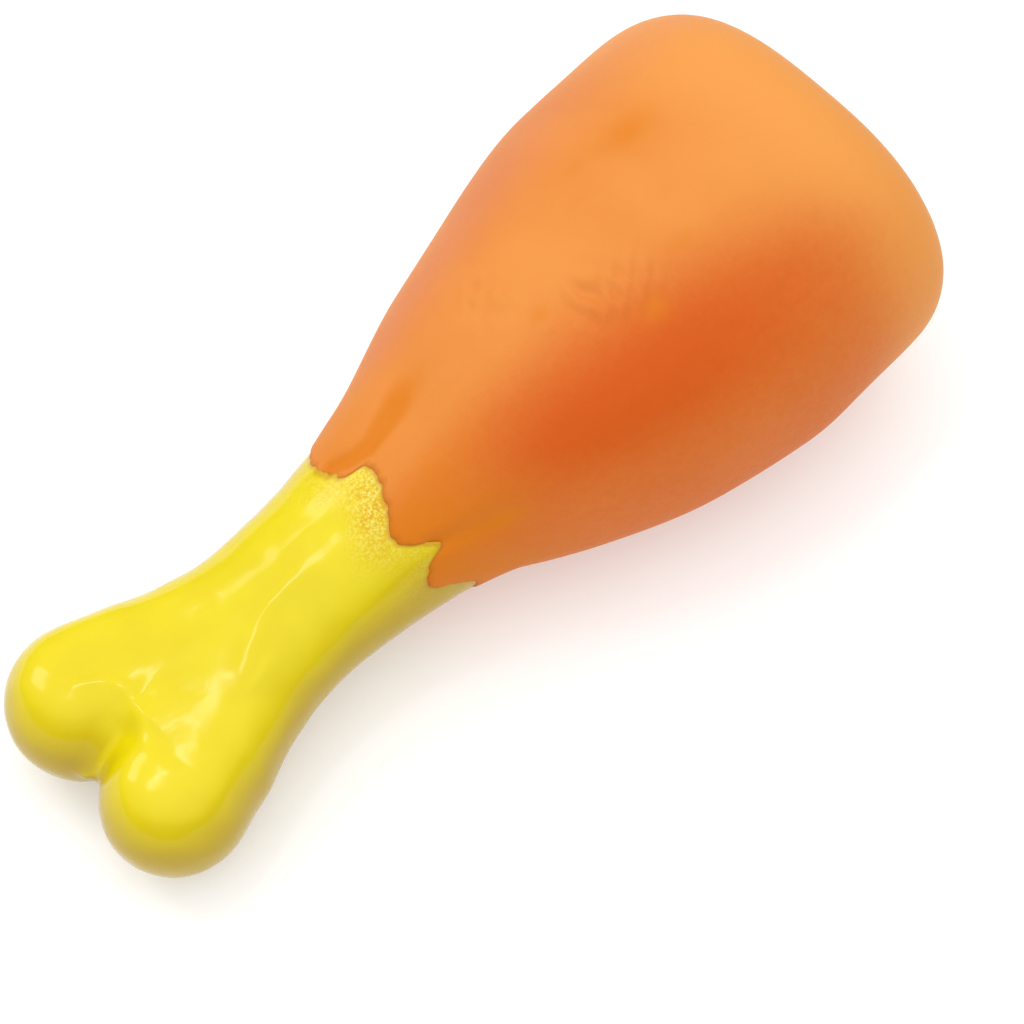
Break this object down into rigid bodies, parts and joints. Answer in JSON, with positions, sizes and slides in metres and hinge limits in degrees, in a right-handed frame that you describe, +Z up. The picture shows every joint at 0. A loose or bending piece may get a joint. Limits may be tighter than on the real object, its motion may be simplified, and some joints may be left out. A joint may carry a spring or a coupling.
{
  "type": "squeaky toy drumstick",
  "caption": "Hollow soft vinyl toy shaped like a chicken drumstick, with a scalloped meat edge, a knobbed bone and a snap-in squeaker in the big end.",
  "frame": {"origin": "on the table under the middle of the toy's length and width, as it lies", "axes": "+X from the bone's end to the big end, +Y across, +Z up from the table"},
  "size_m": [0.125, 0.0556, 0.0415],
  "materials": {
    "meat": "matte orange painted vinyl",
    "bone": "glossy yellow vinyl",
    "squeaker": "satin white moulded polyethylene",
    "reed_plug": "white moulded plastic",
    "reed": "thin amber plastic strip"
  },
  "bodies": {
    "skin": {"meat_skin": "meat", "bone_skin": "bone", "squeaker_disc": "squeaker", "reed_shallot": "reed_plug", "reed_wedge": "reed_plug"},
    "thumb_wall": {"squeeze_panel": "meat"},
    "reed": {"reed_strip": "reed"}
  },
  "joints": [
    {"name": "squeeze", "type": "slide", "parent": "skin", "child": "thumb_wall", "axis": [0, 0, -1], "range_m": [0, 0.006], "stiffness_N_per_m": 1000},
    {"name": "reed_beat", "type": "hinge", "parent": "skin", "child": "reed", "pos_m": [0.0557, 0, 0.0206], "axis": [0, 1, 0], "range_deg": [-2.8, 2.5], "stiffness_Nm_per_rad": 0.0003, "deforming": ["reed_strip"]}
  ]
}
